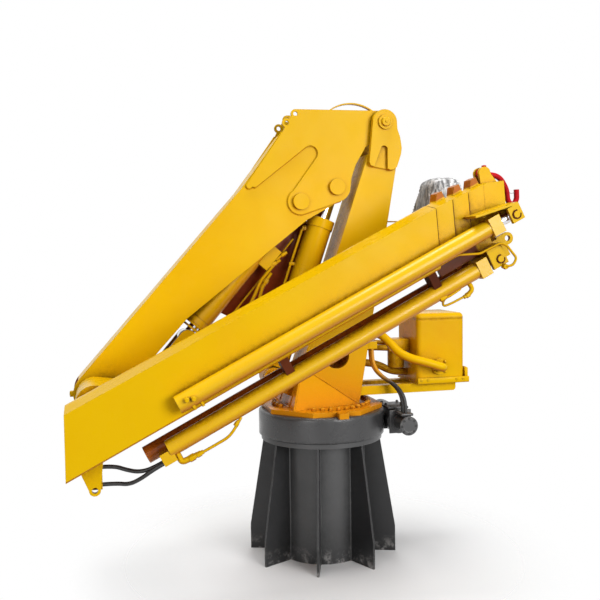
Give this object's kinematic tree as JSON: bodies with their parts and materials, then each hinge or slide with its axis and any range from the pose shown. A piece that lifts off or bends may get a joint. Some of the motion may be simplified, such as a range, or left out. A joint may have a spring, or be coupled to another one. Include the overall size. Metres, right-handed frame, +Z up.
{
  "type": "knuckle boom crane",
  "caption": "Pedestal deck crane folded for storage: leaning column, inner boom lifted by a cylinder, knuckle-jointed telescopic jib with side cylinders, hook, oil tank and slew drive.",
  "frame": {"origin": "on the slew axis, at the level of the pedestal's feet", "axes": "+Z up; +X along the folded booms, towards the hook and the tank; +Y away from the jib side"},
  "size_m": [2.3023, 1.1735, 2.5464],
  "materials": {
    "yellow_paint": "satin",
    "charcoal_paint": "matte",
    "chrome": "polished",
    "hose_rubber": "matte",
    "red_paint": "satin",
    "dust_film": "matte"
  },
  "bodies": {
    "pedestal": {"pedestal_tube": "charcoal_paint", "pedestal_fins": "charcoal_paint", "pedestal_lip": "charcoal_paint", "slew_ring": "charcoal_paint"},
    "turret": {"slew_housing": "charcoal_paint", "worm_gearbox": "charcoal_paint", "slew_motor": "charcoal_paint", "turret_plate": "yellow_paint", "column_box": "yellow_paint", "column_skirts": "yellow_paint", "column_cheeks": "yellow_paint", "pivot_pin": "yellow_paint", "lift_foot_lugs": "yellow_paint", "lift_foot_pin": "yellow_paint", "tank_bars": "yellow_paint", "tank_shelf": "yellow_paint", "tank_shell": "yellow_paint", "tank_lid": "yellow_paint", "suction_pipe": "yellow_paint", "seat_arm": "yellow_paint", "seat_wrap": "dust_film", "slew_hose_1": "hose_rubber", "slew_hose_2": "hose_rubber", "hose_elbow": "yellow_paint"},
    "boom": {"boom_root_plates": "yellow_paint", "boom_side_plates": "yellow_paint", "boom_back_plate": "yellow_paint", "boom_upper_plate": "yellow_paint", "boom_belly_plate": "yellow_paint", "boom_root_boss": "yellow_paint", "boom_tip_boss": "yellow_paint", "boom_pins": "yellow_paint", "hose_guard": "yellow_paint", "knuckle_barrel": "yellow_paint", "valve_block": "yellow_paint"},
    "lift_barrel": {"lift_barrel": "yellow_paint"},
    "lift_rod": {"lift_rod": "chrome"},
    "knuckle_rod": {"knuckle_rod": "chrome"},
    "knuckle_link": {"knuckle_links": "yellow_paint"},
    "jib": {"jib_base": "yellow_paint", "knuckle_arm": "yellow_paint", "knuckle_pins": "yellow_paint", "jib_lug": "yellow_paint", "extension_barrel_1": "yellow_paint", "barrel_saddles": "yellow_paint", "jib_hose_upper": "hose_rubber", "jib_hose_lower": "hose_rubber"},
    "section_1": {"jib_section_1": "yellow_paint", "extension_rod_1": "chrome", "rod_bracket_1": "yellow_paint", "extension_barrel_2": "yellow_paint"},
    "section_2": {"jib_section_2": "yellow_paint", "extension_rod_2": "chrome", "rod_bracket_2": "yellow_paint", "extension_barrel_3": "yellow_paint"},
    "section_3": {"jib_section_3": "yellow_paint", "extension_rod_3": "chrome", "rod_bracket_3": "yellow_paint", "hook_lug": "yellow_paint"},
    "hook": {"hook": "red_paint"}
  },
  "joints": [
    {"name": "slew", "type": "hinge", "parent": "pedestal", "child": "turret", "pos_m": [0, 0, 0], "axis": [0, 0, 1], "continuous": true},
    {"name": "boom_lift", "type": "hinge", "parent": "turret", "child": "boom", "pos_m": [0.344, 0, 2.405], "axis": [0, 1, 0], "range_deg": [0, 124.5]},
    {"name": "lift_barrel_swing", "type": "hinge", "parent": "turret", "child": "lift_barrel", "pos_m": [-0.285, 0, 1.01], "axis": [0, -1, 0], "range_deg": [0, 4.14]},
    {"name": "lift_rod_stroke", "type": "slide", "parent": "lift_barrel", "child": "lift_rod", "axis": [0.326, 0, 0.9454], "range_m": [0, 0.785]},
    {"name": "jib_fold", "type": "hinge", "parent": "boom", "child": "jib", "pos_m": [-1.24, 0, 0.98], "axis": [0, 1, 0], "range_deg": [0, 160]},
    {"name": "knuckle_rod_stroke", "type": "slide", "parent": "boom", "child": "knuckle_rod", "axis": [-0.6481, 0, -0.7615], "range_m": [0, 0.66]},
    {"name": "knuckle_link_turn", "type": "hinge", "parent": "jib", "child": "knuckle_link", "pos_m": [-0.97582, 0, 0.97833], "axis": [0, -1, 0], "range_deg": [0, 85]},
    {"name": "jib_extend", "type": "slide", "parent": "jib", "child": "section_1", "axis": [0.8894, 0, 0.4571], "range_m": [0, 1.55]},
    {"name": "section_2_extend", "type": "slide", "parent": "section_1", "child": "section_2", "axis": [0.8894, 0, 0.4571], "range_m": [0, 1.56]},
    {"name": "section_3_extend", "type": "slide", "parent": "section_2", "child": "section_3", "axis": [0.8894, 0, 0.4571], "range_m": [0, 1.56]},
    {"name": "hook_swing", "type": "hinge", "parent": "section_3", "child": "hook", "pos_m": [0.71803, -0.55, 2.08683], "axis": [0, -1, 0], "range_deg": [0, 120]}
  ],
  "couplings": [
    {"joint": "lift_barrel_swing", "follows": "boom_lift", "ratio": 0.031627},
    {"joint": "lift_rod_stroke", "follows": "boom_lift", "m_per_rad": 0.35978},
    {"joint": "knuckle_rod_stroke", "follows": "jib_fold", "m_per_rad": 0.23515},
    {"joint": "knuckle_link_turn", "follows": "jib_fold", "ratio": 0.52936},
    {"joint": "section_2_extend", "follows": "jib_extend", "ratio": 1},
    {"joint": "section_3_extend", "follows": "jib_extend", "ratio": 1}
  ]
}
